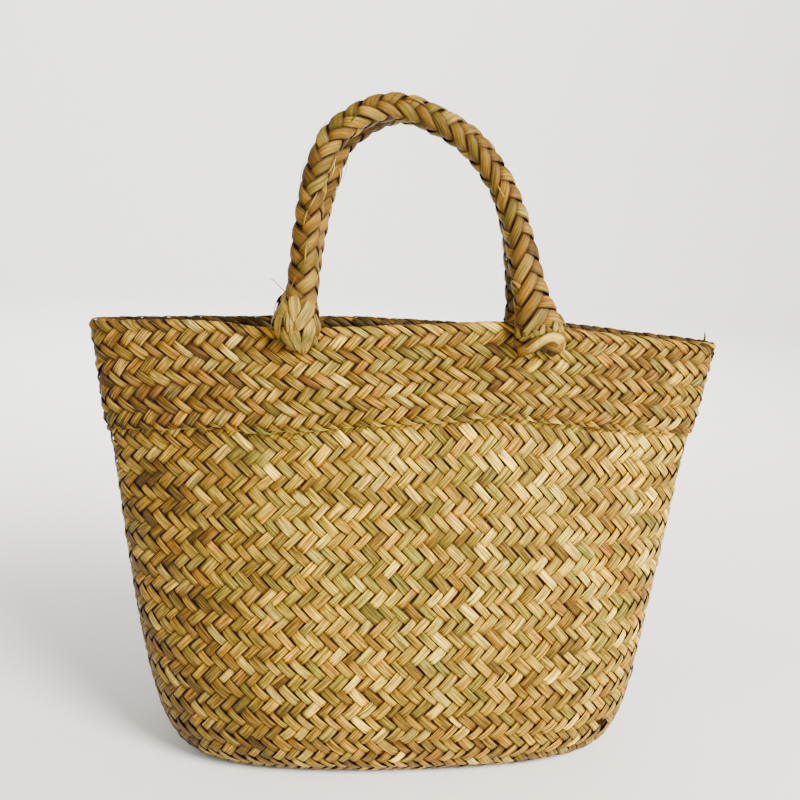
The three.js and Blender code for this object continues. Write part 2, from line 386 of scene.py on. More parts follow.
def closed_strips(name, points, strip, place, tint):
    """One mesh of closed strips from rings of points: (strips, stations, points in a ring, 3).
    strip, place and tint are kept as attributes for the material."""
    count, stations, around, _ = points.shape
    quad_ring = np.arange(around)
    first = (np.arange(stations - 1)[:, None] * around + quad_ring).reshape(-1)
    second = (np.arange(stations - 1)[:, None] * around + (quad_ring + 1) % around).reshape(-1)
    quads = np.stack([first, second, second + around, first + around], -1)
    caps = np.stack([quad_ring[::-1], (stations - 1) * around + quad_ring])
    a, b, c, d = (points.reshape(count, -1, 3)[:, quads[:, i]] for i in range(4))
    middle = points.reshape(count, -1, 3).mean(1)[:, None]
    volume = np.einsum("fij,fij->f", np.cross(b - a, d - a) + np.cross(d - c, b - c), a + c - 2 * middle)
    turned = volume < 0
    size = stations * around
    start = (np.arange(count) * size)[:, None, None]
    every_quad = np.where(turned[:, None, None], quads[None, :, ::-1], quads[None]) + start
    every_cap = np.where(turned[:, None, None], caps[None, :, ::-1], caps[None]) + start
    mesh = bpy.data.meshes.new(name)
    mesh.vertices.add(count * size)
    mesh.vertices.foreach_set("co", points.astype(np.float32).ravel())
    loops = np.concatenate([every_quad.ravel(), every_cap.ravel()]).astype(np.int32)
    totals = np.concatenate([
        np.full(count * len(quads), 4, np.int32), np.full(count * 2, around, np.int32),
    ])
    mesh.loops.add(len(loops))
    mesh.loops.foreach_set("vertex_index", loops)
    mesh.polygons.add(len(totals))
    mesh.polygons.foreach_set("loop_start", (np.cumsum(totals) - totals).astype(np.int32))
    mesh.update(calc_edges=True)
    for title, values in (("strip", strip), ("place", place)):
        attribute = mesh.attributes.new(title, "FLOAT_VECTOR", "POINT")
        attribute.data.foreach_set("vector", values.astype(np.float32).ravel())
    colour = mesh.attributes.new("tint", "FLOAT_COLOR", "POINT")
    rgba = np.ones((count, size, 4), np.float32)
    rgba[..., :3] = tint[:, None, :]
    colour.data.foreach_set("color", rgba.ravel())
    return smoothed(name, mesh, STRIP_SHARP)


class Floats:
    """The floats of a weave: the family of each, the number of its own strip and where its
    middle is along it, counted in the strips that it crosses."""

    def __init__(self, columns_at, rows_at, falling):
        self.falling = falling
        self.own = np.where(falling, columns_at - rows_at, columns_at + rows_at)
        self.middle = np.where(falling, columns_at + rows_at, columns_at - rows_at)
        self.column = columns_at
        self.row = rows_at
        self.count = len(columns_at)

    def on(self, sheet, height=0.0):
        """Where the floats' middles are on a sheet."""
        return sheet.at(self.column, self.row, np.full(self.count, height))

    def chosen(self, which):
        return Floats(self.column[which], self.row[which], self.falling[which])


def herringbone_rows(columns, first_row, last_row):
    """Floats whose rows run level, each row leaning against the one before."""
    found = []
    for row in range(first_row, last_row):
        falling = row % 2 == 0
        column = np.arange(columns) + (0.25 if falling else 0.75)
        found.append(np.stack([column, np.full(columns, row + 0.25), np.full(columns, falling)]))
    column, row, falling = np.concatenate(found, 1)
    return Floats(column, row, falling > 0.5)


# How far apart the strips lie in the material's noise, how wide a strip is there as a share of
# a row's height, and how its length counts: over the whole strip and over its own float
NOISE_APART = 400
NOISE_WIDTH = 0.74
NOISE_LENGTHS = (0.69, 0.31)


def loose_strips(name, middles, outwards, widths, tints):
    """Makes single strips as closed bodies along rows of points, each with its way out and its
    widths."""
    form = LOOSE_STRIP
    count, stations, _ = middles.shape
    along = np.gradient(middles, axis=1)
    sideways = np.cross(along, outwards)
    sideways /= np.linalg.norm(sideways, axis=2, keepdims=True)
    outwards = np.cross(sideways, along)
    outwards /= np.linalg.norm(outwards, axis=2, keepdims=True)
    across = form.across[None, None, :, None] * widths[:, :, None, None] / 2
    slim = np.minimum(1, widths / (3 * MM))[:, :, None, None]
    rise = form.crown[None, None, :, None] * slim
    points = middles[:, :, None] + sideways[:, :, None] * across + outwards[:, :, None] * rise
    length = np.cumsum(np.linalg.norm(along, axis=2), axis=1)[:, :, None] + 0 * points[..., 0]
    luck = RANDOM.uniform(0, 1, count)[:, None, None] + 0 * points[..., 0]
    strip = np.stack([across[..., 0] / MM + 0 * luck, length / MM, luck * NOISE_APART], -1)
    shades = np.interp(np.linspace(0, 1, stations), form.along, form.shades)
    place = np.stack([
        np.abs(form.across)[None, None, :] + 0 * luck, shades[None, :, None] + 0 * luck, luck,
    ], -1)
    return closed_strips(name, points, strip, place, tints)


def lay_floats(name, sheet, lattice, floats, tint, form=FLAT_STRIP, lower=0.0, last_row=None,
               loose=0.1 * MM):
    """Makes the floats as closed, crowned strips on a sheet. Rows past last_row are cut
    straight, and loose is how unevenly they lie."""
    count = floats.count
    wide = (form.width + RANDOM.uniform(-0.1, 0.05, count))[:, None, None] / 2
    skew = RANDOM.normal(0, 0.03, count)[:, None, None]
    shift = RANDOM.normal(0, 0.025, count)[:, None, None]
    across = form.across[None, None, :]
    along = form.along[None, :, None] + RANDOM.normal(0, 0.05, count)[:, None, None]
    here = floats.middle[:, None, None] + along + 0 * across
    own = floats.own[:, None, None] + wide * across + skew * along + shift
    falling = floats.falling[:, None, None]
    a, b = np.where(falling, own, here), np.where(falling, here, own)
    column, row = lattice.place(a, b)
    if last_row is not None:
        cut = last_row + RANDOM.normal(0, 0.07, count)[:, None, None]
        row = np.where(row > cut, cut + (row - cut) * 0.02, row)
    bob = RANDOM.normal(0, loose, count)[:, None, None]
    tilt = RANDOM.normal(0, loose, count)[:, None, None] * across
    height = form.heights[None, :, None] + form.crown[None, None, :] + bob + tilt - lower
    points = sheet.at(column, row, height)
    cell = sheet.row_height * NOISE_WIDTH / MM
    luck = RANDOM.uniform(0, 1, count)[:, None, None] + 0 * here
    strip = np.stack([
        wide * across * 2 * cell + 0 * here,
        (here * NOISE_LENGTHS[0] + along * NOISE_LENGTHS[1]) * cell,
        luck * NOISE_APART,
    ], -1)
    place = np.stack([np.abs(across) + 0 * here, form.shades[None, :, None] + 0 * here, luck], -1)
    return closed_strips(name, points, strip, place, tint)


def srgb(red, green, blue):
    """A colour as it looks on a screen, 0 to 255, as linear light."""
    c = np.array([red, green, blue]) / 255
    return np.where(c <= 0.04045, c / 12.92, ((c + 0.055) / 1.055) ** 2.4)


# Straw colours: how often each occurs, how brown (or, below zero, how green) it is, and how it
# looks
STRAW = (
    (0.28, 0.0, srgb(157, 125, 36)),
    (0.20, 0.4, srgb(138, 106, 31)),
    (0.18, -1.0, srgb(131, 114, 37)),
    (0.12, -0.1, srgb(198, 168, 72)),
    (0.04, 1.2, srgb(146, 104, 29)),
    (0.07, 1.2, srgb(100, 72, 24)),
    (0.05, 0.0, srgb(183, 144, 34)),
    (0.04, -0.8, srgb(122, 110, 45)),
)
BRAID_STRAW = (
    (0.34, 0.3, srgb(112, 82, 30)),
    (0.24, 0.0, srgb(128, 98, 38)),
    (0.18, 1.0, srgb(88, 58, 22)),
    (0.12, -0.2, srgb(154, 128, 62)),
    (0.12, -0.6, srgb(104, 88, 34)),
)
PALE_BRAID = BRAID_STRAW[3][2]
# Painted shade: the dark colour of the floats over the rim's inner side
RIM_INSIDE_SHADE = srgb(58, 42, 20)


def straw_tints(floats, columns, straw=STRAW, keep=0.5, spread=0.27, brown=0.0):
    """A colour for each float. Floats of one strip are often alike, and brown shifts them
    between green below zero and brown above."""
    shares, browns = (np.array([kind[i] for kind in straw]) for i in (0, 1))
    colours = np.array([kind[2] for kind in straw])
    strips = RANDOM.gumbel(size=(2, columns, len(straw)))
    own = strips[floats.falling.astype(int), np.round(floats.own).astype(int) % columns]
    kept = RANDOM.uniform(0, 1, floats.count) < keep
    lean = np.log(shares) + 1.2 * browns * (np.zeros(floats.count) + brown)[:, None]

    def pick(draws):
        return colours[np.argmax(lean + draws, 1)]

    first = pick(np.where(kept[:, None], own, RANDOM.gumbel(size=own.shape)))
    second = pick(RANDOM.gumbel(size=own.shape))
    bright = np.exp(RANDOM.normal(0, spread, floats.count))
    return (first * 0.74 + second * 0.26) * bright[:, None]


def ring_shell(name, rings, closed_loop):
    """A closed body from rings of points around the basket."""
    around = len(rings[0])
    points = np.array(rings).reshape(-1, 3)
    faces = []
    joins = len(rings) if closed_loop else len(rings) - 1
    for r in range(joins):
        low, high = r * around, (r + 1) % len(rings) * around
        for i in range(around):
            j = (i + 1) % around
            faces.append((low + i, low + j, high + j, high + i))
    if not closed_loop:
        end = (len(rings) - 1) * around
        faces.append(tuple(range(around - 1, -1, -1)))
        faces.append(tuple(range(end, end + around)))
    mesh = bpy.data.meshes.new(name)
    mesh.from_pydata([tuple(p) for p in points], [], faces)
    return smoothed(name, mesh, SHELL_SHARP)


# Materials

def node(tree, kind, **inputs):
    made = tree.nodes.new(kind)
    for key, value in inputs.items():
        if hasattr(made, key):
            setattr(made, key, value)
    return made


def noise(tree, vector, stretch, detail, roughness=0.5):
    """Noise over a vector output, stretched by one number for each axis."""
    multiply = node(tree, "ShaderNodeVectorMath", operation="MULTIPLY")
    tree.links.new(vector, multiply.inputs[0])
    multiply.inputs[1].default_value = stretch
    made = node(tree, "ShaderNodeTexNoise")
    tree.links.new(multiply.outputs["Vector"], made.inputs["Vector"])
    made.inputs["Scale"].default_value = 1.0
    made.inputs["Detail"].default_value = detail
    made.inputs["Roughness"].default_value = roughness
    return made.outputs["Fac"]


def ranged(tree, value, low, high, new_low=0.0, new_high=1.0):
    made = node(tree, "ShaderNodeMapRange")
    made.interpolation_type = "SMOOTHSTEP"
    tree.links.new(value, made.inputs["Value"])
    for key, number in (("From Min", low), ("From Max", high), ("To Min", new_low), ("To Max", new_high)):
        made.inputs[key].default_value = number
    return made.outputs["Result"]


def math_of(tree, operation, first, second):
    made = node(tree, "ShaderNodeMath", operation=operation)
    for socket, value in zip(made.inputs, (first, second)):
        if isinstance(value, (int, float)):
            socket.default_value = value
        else:
            tree.links.new(value, socket)
    return made.outputs["Value"]


def mixed(tree, factor, first, second, blend="MIX"):
    made = node(tree, "ShaderNodeMix", data_type="RGBA", blend_type=blend)
    for key, value in (("Factor", factor), ("A", first), ("B", second)):
        socket = next(s for s in made.inputs if s.name == key and (key == "Factor") == (s.type == "VALUE")
                      and (key == "Factor" or s.type == "RGBA"))
        if isinstance(value, (int, float)):
            socket.default_value = value
        elif isinstance(value, (tuple, list, np.ndarray)):
            socket.default_value = (*[float(v) for v in value[:3]], 1)
        else:
            tree.links.new(value, socket)
    return next(s for s in made.outputs if s.type == "RGBA")


def times(tree, colour, factors):
    return mixed(tree, 1.0, colour, factors, "MULTIPLY")


def new_material(name):
    """A new material, its node tree and its shader."""
    material = bpy.data.materials.new(name)
    material.use_nodes = True
    tree = material.node_tree
    return material, tree, tree.nodes["Principled BSDF"]


def straw_material(name, fibre_depth=0.5, roughness=0.5, edge_shade_from=0.78, streak=0.4, split=0.65,
                   contrast=1.0):
    """Dry straw: fine fibres along each strip, blotches and dark splits, with painted shade along its
    edges and towards its shaded stations.
    """
    material, tree, shader = new_material(name)
    strip = node(tree, "ShaderNodeAttribute", attribute_name="strip").outputs["Vector"]
    place = node(tree, "ShaderNodeAttribute", attribute_name="place").outputs["Vector"]
    tint = node(tree, "ShaderNodeAttribute", attribute_name="tint").outputs["Color"]
    parts = node(tree, "ShaderNodeSeparateXYZ")
    tree.links.new(place, parts.inputs["Vector"])
    across, shade, luck = (parts.outputs[key] for key in ("X", "Y", "Z"))
    fibres = noise(tree, strip, (2.0, 0.11, 1), 4, 0.6)
    bundles = noise(tree, strip, (0.8, 0.07, 1), 2)
    blotches = noise(tree, strip, (0.2, 0.14, 1), 3, 0.6)
    hues = noise(tree, strip, (0.16, 0.1, 3), 2)
    splits = noise(tree, strip, (1.7, 0.06, 2), 1, 0.4)
    specks = noise(tree, strip, (1.6, 1.1, 1), 2)

    golden = times(tree, tint, (1.16, 1.04, 0.6))
    olive = times(tree, tint, (0.82, 0.95, 0.85))
    tint = mixed(tree, ranged(tree, hues, 0.36, 0.64), golden, olive)
    light = times(tree, tint, 1 + contrast * np.array([1.15, 1.15, 0.95]))
    dark = times(tree, tint, 1 - contrast * np.array([0.6, 0.66, 0.72]))
    halves = [math_of(tree, "MULTIPLY", part, 0.5) for part in (fibres, bundles)]
    both = math_of(tree, "ADD", *halves)
    colour = mixed(tree, ranged(tree, both, 0.4, 0.62), dark, light)
    streaks = math_of(tree, "MULTIPLY", ranged(tree, bundles, 0.4, 0.56, 1, 0), streak)
    colour = mixed(tree, streaks, colour, dark)
    brown = times(tree, tint, (0.74, 0.56, 0.36))
    colour = mixed(tree, ranged(tree, blotches, 0.52, 0.7, 0, 0.7), colour, brown)
    lucky = ranged(tree, luck, 1 - split, 1.0)
    slit = math_of(tree, "MULTIPLY", ranged(tree, splits, 0.55, 0.6), lucky)
    colour = mixed(tree, math_of(tree, "MULTIPLY", slit, 0.85), colour, srgb(48, 28, 14))
    colour = mixed(tree, ranged(tree, specks, 0.68, 0.75, 0, 0.7), colour, srgb(62, 38, 20))
    # Painted shade: the colour darkens with the stations' shade, where floats pass under other strips and
    # over the rim's crest and inner side
    painted_shade = ranged(tree, shade, 0.1, 0.8, 0, 0.8)
    colour = mixed(tree, painted_shade, colour, times(tree, colour, (0.42, 0.3, 0.2)))
    # Painted shade: the edges darken, where the gaps between strips lie in shade
    edge = ranged(tree, across, edge_shade_from, 0.97, 0, 0.9)
    colour = mixed(tree, edge, colour, srgb(40, 24, 12))
    tree.links.new(colour, shader.inputs["Base Color"])
    rough = ranged(tree, fibres, 0.3, 0.7, roughness + 0.12, roughness - 0.06)
    tree.links.new(rough, shader.inputs["Roughness"])
    shader.inputs["Specular IOR Level"].default_value = 0.2
    shader.inputs["Specular Tint"].default_value = (1.0, 0.8, 0.45, 1)
    relief = math_of(tree, "SUBTRACT", fibres, math_of(tree, "MULTIPLY", slit, 0.8))
    bump = node(tree, "ShaderNodeBump")
    bump.inputs["Strength"].default_value = fibre_depth
    bump.inputs["Distance"].default_value = 0.3 * MM
    tree.links.new(relief, bump.inputs["Height"])
    tree.links.new(bump.outputs["Normal"], shader.inputs["Normal"])
    return material


def dark_material(name):
    """The shadowed straw under the strips, seen through the gaps of the weave."""
    material, tree, shader = new_material(name)
    place = node(tree, "ShaderNodeTexCoord").outputs["Object"]
    grain = noise(tree, place, (400, 400, 400), 3, 0.6)
    colour = mixed(tree, grain, srgb(24, 14, 7), srgb(52, 32, 16))
    tree.links.new(colour, shader.inputs["Base Color"])
    shader.inputs["Roughness"].default_value = 0.9
    shader.inputs["Specular IOR Level"].default_value = 0.0
    return material


def plain_material(name, colour, roughness):
    material, _, shader = new_material(name)
    shader.inputs["Base Color"].default_value = (*colour, 1)
    shader.inputs["Roughness"].default_value = roughness
    return material


STRAW_WEAVE = straw_material("straw_weave")
STRAW_BAND = straw_material("straw_band")
STRAW_BRAID = straw_material("straw_braid", fibre_depth=0.25, roughness=0.52, edge_shade_from=0.64, streak=0.2,
                             split=0.35, contrast=0.6)
STRAW_DARK = dark_material("straw_shadow")


def finish_piece(piece, material, slot, *nodes):
    piece.data.materials.append(material)
    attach(piece, "root")
    if nodes:
        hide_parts(*nodes)
    return piece


# The camera, at the photograph's angle and distance
CAMERA_PLACE = (-61.25 * MM, -432.5 * MM, 297.7 * MM)
CAMERA_HEADING = 7.22
CAMERA_PITCH = -13.51
CAMERA_ROLL = 3.35
CAMERA_LENS = 38.43
SENSOR_WIDTH = 36
NEAREST_SEEN = 10 * MM


def make_camera():
    data = bpy.data.cameras.new("camera")
    data.lens = CAMERA_LENS
    data.sensor_width = SENSOR_WIDTH
    data.clip_start = NEAREST_SEEN
    camera = placed("camera", data)
    turn = Matrix.Rotation(math.radians(-CAMERA_HEADING), 4, "Z")
    tip = Matrix.Rotation(math.radians(90 + CAMERA_PITCH), 4, "X")
    roll = Matrix.Rotation(math.radians(CAMERA_ROLL), 4, "Z")
    camera.matrix_world = Matrix.Translation(CAMERA_PLACE) @ turn @ tip @ roll
    bpy.context.scene.camera = camera


def make_light(name, place, target, size, power, colour=(1, 1, 1)):
    data = bpy.data.lights.new(name, "AREA")
    data.shape = "DISK"
    data.size = size
    data.energy = power
    data.color = colour
    light = placed(name, data)
    aim = Vector(target) - Vector(place)
    light.matrix_world = Matrix.Translation(place) @ aim.to_track_quat("-Z", "Y").to_matrix().to_4x4()


# The stage: how far the floor lies under the base, how wide it is, how it bends up, and its top
FLOOR_DROP = 0.6 * MM
FLOOR_RADIUS = 2.0
BEND_RADIUS = 1.2
WALL_LEVELS = (1.6, 2.4)
BAG_MIDDLE = (0, 0, 0.13)


def make_stage():
    """A pale floor that sweeps up all around, and soft lights."""
    around = 96
    profile = [(1 * MM, 0), (BEND_RADIUS, 0), (FLOOR_RADIUS, 0)]
    profile += [
        (FLOOR_RADIUS + BEND_RADIUS * math.sin(t), BEND_RADIUS - BEND_RADIUS * math.cos(t))
        for t in np.linspace(0.1, 1.5, 14)
    ]
    profile += [(FLOOR_RADIUS + BEND_RADIUS, z) for z in WALL_LEVELS]
    points = [
        (r * math.cos(t), r * math.sin(t), z - FLOOR_DROP)
        for r, z in profile for t in np.arange(around) / around * 2 * math.pi
    ]
    faces = [
        (k * around + i, k * around + (i + 1) % around, (k + 1) * around + (i + 1) % around,
         (k + 1) * around + i)
        for k in range(len(profile) - 1) for i in range(around)
    ]
    mesh = bpy.data.meshes.new("floor")
    mesh.from_pydata(points, [], faces)
    mesh.polygons.foreach_set("use_smooth", np.ones(len(mesh.polygons), bool))
    floor = placed("floor", mesh)
    floor.data.materials.append(plain_material("pale_floor", srgb(236, 235, 232), 0.9))
    world = bpy.data.worlds.new("studio")
    world.use_nodes = True
    background = world.node_tree.nodes["Background"]
    background.inputs["Color"].default_value = (*srgb(244, 244, 242), 1)
    background.inputs["Strength"].default_value = 0.75
    bpy.context.scene.world = world
    make_light("key", (0.85, -0.95, 1.15), BAG_MIDDLE, 0.7, 88, (1.0, 0.97, 0.92))
    make_light("fill", (-1.2, -1.0, 0.9), BAG_MIDDLE, 1.2, 3)
    make_light("wall", (0.0, 0.6, 1.6), (-0.4, 3.1, 0.7), 1.5, 130)


make_camera()
make_stage()

# The basket
SUNK = 0.1 * MM
OUTSIDE = SIDE_FOLD_RADIUS
INSIDE = SIDE_FOLD_RADIUS - WALL_THICKNESS
BAND_OUTSIDE = SIDE_FOLD_RADIUS + CLEARANCE + BAND_THICKNESS

# How many levels a wall has, and how far over the seam the weave and the band's end begin, as a
# share of the height
WALL_STEPS = 90
SEAM_TUCK = 0.06


def even_levels(top, bottom, count, proud):
    return [(up, proud, 0) for up in np.linspace(top, bottom, count)]


def body_sheet():
    """The outside of the basket from under the band down to its base and in under it."""
    levels = even_levels(SEAM_UP + SEAM_TUCK, SEAM_UP + 0.005, 8, OUTSIDE)
    zero = len(levels)
    levels += [(SEAM_UP, OUTSIDE, 0)] + even_levels(SEAM_UP - 0.01, 0.004, WALL_STEPS, OUTSIDE)
    for inward in np.linspace(0, 16, 12):
        levels.append((0, OUTSIDE - inward * MM, min(0.55, 0.35 + inward * 0.08) * MM))
    return WallSheet(levels, STRIPS_AROUND, ROW_HEIGHT, zero, zero_row=-0.2)


def inner_sheet():
    """The inside of the basket from under the rim to the floor and in over it."""
    levels = even_levels(0.972, 0.014, WALL_STEPS, INSIDE)
    levels += [(0.0115, INSIDE - inward * MM, 0) for inward in np.linspace(1, 14, 8)]
    return WallSheet(levels, STRIPS_AROUND, ROW_HEIGHT, 0, facing=-1)


def band_sheet():
    """The band: up the inside from below the rim, over the rim and down to the seam."""
    bend = (BAND_OUTSIDE - INSIDE) / 2
    bend_up = 1 - bend / BASKET_HEIGHT
    levels = even_levels(0.93, bend_up - 0.006, 6, INSIDE)
    for turn in np.linspace(0, math.pi, 13):
        proud = (BAND_OUTSIDE + INSIDE) / 2 - bend * math.cos(turn)
        levels.append((bend_up, proud, bend * math.sin(turn)))
    apex = len(levels) - 7
    levels += even_levels(bend_up - 0.008, SEAM_UP + SEAM_TUCK, 24, BAND_OUTSIDE)
    for share in np.linspace(0.1, 1.1, 11):
        levels.append((SEAM_UP + SEAM_TUCK * (1 - share), BAND_OUTSIDE - 1.1 * MM * share ** 2, 0))
    return WallSheet(levels, STRIPS_AROUND, BAND_ROW_HEIGHT, apex, zero_row=-0.3, step=0.5 * MM)


def zone_tones(sheet, floats):
    """How brown, how bright and of what cast the floats are from zone to zone: browner
    towards the left fold and the base, greener in the middle, and bluer towards the left fold.
    How bright they are is painted shade and light: darker towards the left fold, which faces
    away from the light, and towards the base, but a little lighter at the base's right end."""
    place = floats.on(sheet)
    across = place[:, 0] / (RIM_WIDTH / 2)
    up = place[:, 2] / BASKET_HEIGHT
    left = np.clip(-0.35 - across, 0, 0.5) / 0.5
    low = np.clip(0.3 - up, 0, 0.3) / 0.3
    middle = np.exp(-((across + 0.2) / 0.3) ** 2 - ((up - 0.55) / 0.25) ** 2)
    wave = np.sin(across * 7 + 2 * np.sin(up * 9)) * np.cos(up * 11 + across * 3)
    brown = 0.9 * low + 0.6 * left - 0.9 * middle + 0.35 * wave
    # Painted shade and light: darker towards the left fold and the base, lighter at the base's right end
    bright = 1 - 0.55 * left ** 0.6 - low * (0.24 - 0.34 * np.clip(across, 0, 1)) + 0.06 * wave
    return brown, bright[:, None], np.stack([0 * left + 1, 0 * left + 1, 1.13 + 0.5 * left], -1)


def without_nearest(sheet, floats, place, count):
    """The floats but for the few nearest to a place."""
    away = np.linalg.norm(floats.on(sheet) - np.array(place), axis=1)
    return floats.chosen(away > np.sort(away)[count - 1])


TORN_PLACE = (104 * MM, -32 * MM, 22 * MM)


def make_body():
    sheet = body_sheet()
    lattice = Lattice(STRIPS_AROUND, STRIP_UNEVENNESS, 0.04)
    floats = herringbone_rows(STRIPS_AROUND, -1, int(sheet.last_row))
    floats = without_nearest(sheet, floats, TORN_PLACE, 1)
    brown, bright, cast = zone_tones(sheet, floats)
    # The zones' painted shade and light go into the floats' tints
    tint = straw_tints(floats, STRIPS_AROUND, brown=brown) * bright * cast
    in_front = np.mod(floats.column, STRIPS_AROUND) < STRIPS_AROUND / 2
    for name, chosen in (("weave_front", in_front), ("weave_back", ~in_front)):
        part = floats.chosen(chosen)
        piece = lay_floats(name, sheet, lattice, part, tint[chosen], lower=SUNK)
        finish_piece(piece, STRAW_WEAVE, "straw_weave", "basket_body")


def make_inside():
    sheet = inner_sheet()
    lattice = Lattice(STRIPS_AROUND, STRIP_UNEVENNESS)
    floats = herringbone_rows(STRIPS_AROUND, 0, int(sheet.last_row))
    # Painted shade: the inside's floats are darker, as the inside lies in shade
    tint = straw_tints(floats, STRIPS_AROUND) * 0.8
    piece = lay_floats("weave_inside", sheet, lattice, floats, tint, form=INNER_STRIP, lower=SUNK)
    finish_piece(piece, STRAW_WEAVE, "straw_weave", "basket_body")


def within(outline, x, y):
    """Whether each place lies within a closed outline."""
    inside = np.zeros(len(x), bool)
    for (x0, y0), (x1, y1) in zip(outline, np.roll(outline, -1, 0)):
        if y0 == y1:
            continue
        crosses = (y0 > y) != (y1 > y)
        inside ^= crosses & (x < (x1 - x0) * (y - y0) / (y1 - y0) + x0)
    return inside


def make_mat(name, height, facing, outline, form):
    """A flat herringbone mat of the floats whose middles lie within an outline."""
    sheet = FlatSheet(height, 7.3 * MM, ROW_HEIGHT, facing)
    reach = 24
    lattice = Lattice(4 * reach, STRIP_UNEVENNESS)
    floats = herringbone_rows(2 * reach, -8, 9)
    column = floats.column - reach
    kept = within(outline, column * sheet.column_width, -floats.row * sheet.row_height)
    floats = Floats(column[kept], floats.row[kept], floats.falling[kept])
    tint = straw_tints(floats, 4 * reach)
    piece = lay_floats(name, sheet, lattice, floats, tint, form=form)
    finish_piece(piece, STRAW_WEAVE, "straw_weave", "basket_body")


def make_band():
    sheet = band_sheet()
    lattice = Lattice(STRIPS_AROUND, STRIP_UNEVENNESS, BAND_LEAN)
    floats = herringbone_rows(STRIPS_AROUND, 0, BAND_ROWS + 1)
    brown, bright, cast = zone_tones(sheet, floats)
    # The band takes the zones' painted shade and light, softened
    tint = straw_tints(floats, STRIPS_AROUND, brown=brown + 0.2) * bright ** 0.5 * cast
    tint *= (0.77, 0.76, 0.9)
    top = floats.row < 0.5
    behind = np.mod(floats.column, STRIPS_AROUND) > STRIPS_AROUND / 2
    # Painted shade: the top row's floats at the back are darkened, where the rim's inner side lies in
    # shade
    tint[top & behind] *= (0.32, 0.3, 0.32)
    first = floats.chosen(top)
    wraps = lay_floats("rim_wraps", sheet, lattice, first, tint[top], form=WRAP_STRIP)
    finish_piece(wraps, STRAW_BAND, "straw_band", "rim_band")
    # Painted shade: the floats on the rim's inner side are dark brown
    shadows = RIM_INSIDE_SHADE * RANDOM.uniform(0.4, 1.1, (top.sum(), 1))
    inner = lay_floats("rim_inside", sheet, lattice, first, shadows, form=INNER_WRAP_STRIP)
    finish_piece(inner, STRAW_BAND, "straw_band", "rim_band")
    rest = lay_floats("band_weave", sheet, lattice, floats.chosen(~top), tint[~top],
                      form=PUFFY_STRIP, last_row=BAND_ROWS + 0.1)
    finish_piece(rest, STRAW_BAND, "straw_band", "rim_band")
    return sheet


def sparse_ring(up, proud, rise=0.0):
    """A ring of fewer points, for what shows only through gaps."""
    return ring(up, proud)[:: RING_TURNS // 300] + np.array([0, 0, rise])


# The round top of the band's core: the height of its middle, as a share, and its radius
CREST_UP = 0.9902
CREST_RADIUS = 1.85 * MM


def make_cores():
    """The dark straw in the middle of the wall and of the band, its darkness painted shade that shows
    through the gaps.
    """
    outside, inside = OUTSIDE - 0.95 * MM, OUTSIDE - 1.45 * MM
    levels = np.linspace(0.006, 0.962, 40)
    rings = [sparse_ring(up, outside) for up in levels]
    rings += [sparse_ring(up, inside) for up in levels[::-1]]
    rings[-1] = sparse_ring(levels[0], inside, 0.4 * MM)
    core = ring_shell("weave_core", rings, False)
    finish_piece(core, STRAW_DARK, "straw_weave", "basket_body")
    levels = np.linspace(SEAM_UP + 0.012, 0.988, 12)
    front, back = BAND_OUTSIDE - 1.05 * MM, OUTSIDE + 0.45 * MM
    rings = [sparse_ring(up, front - (0.9 * MM if up == levels[0] else 0)) for up in levels]
    crest = (BAND_OUTSIDE + INSIDE) / 2
    for turn in np.linspace(0.7, math.pi - 0.7, 5):
        proud = crest + CREST_RADIUS * math.cos(turn)
        rings.append(sparse_ring(CREST_UP, proud, CREST_RADIUS * math.sin(turn)))
    rings += [sparse_ring(0.982, 2.5 * MM), sparse_ring(0.966, 2.5 * MM)]
    rings += [sparse_ring(0.966, 3.2 * MM), sparse_ring(0.98, 3.6 * MM)]
    rings += [sparse_ring(up, back) for up in levels[:-1][::-1]]
    core = ring_shell("band_core", rings, True)
    finish_piece(core, STRAW_DARK, "straw_band", "rim_band")


# The handles
BRAID_COLUMNS = 4
BRAID_ROW_HEIGHT = 9.2 * MM
BRAID_SUNK = 0.35 * MM
BRAID_COLUMNS_AT = ("along", "twist", "skew")
BRAID_ROWS = (
    (0.0, 112, 0.0),
    (0.2, 100, 0.1),
    (0.4, 92, 0.25),
    (0.7, 90, 0.45),
    (1.0, 88, 0.5),
)


def curve_through(points, count):
    """A smooth curve through points, with the same number of places between each two."""
    before = np.vstack([2 * points[:1] - points[1:2], points, 2 * points[-1:] - points[-2:-1]])
    slopes = (before[2:] - before[:-2]) / 2
    at = np.linspace(0, len(points) - 1, count)
    k = np.minimum(at.astype(int), len(points) - 2)
    t = (at - k)[:, None]
    p0, p1, m0, m1 = points[k], points[k + 1], slopes[k], slopes[k + 1]
    bend = (2 * t ** 3 - 3 * t ** 2 + 1) * p0 + (3 * t ** 2 - 2 * t ** 3) * p1
    return bend + (t ** 3 - 2 * t ** 2 + t) * m0 + (t ** 3 - t ** 2) * m1


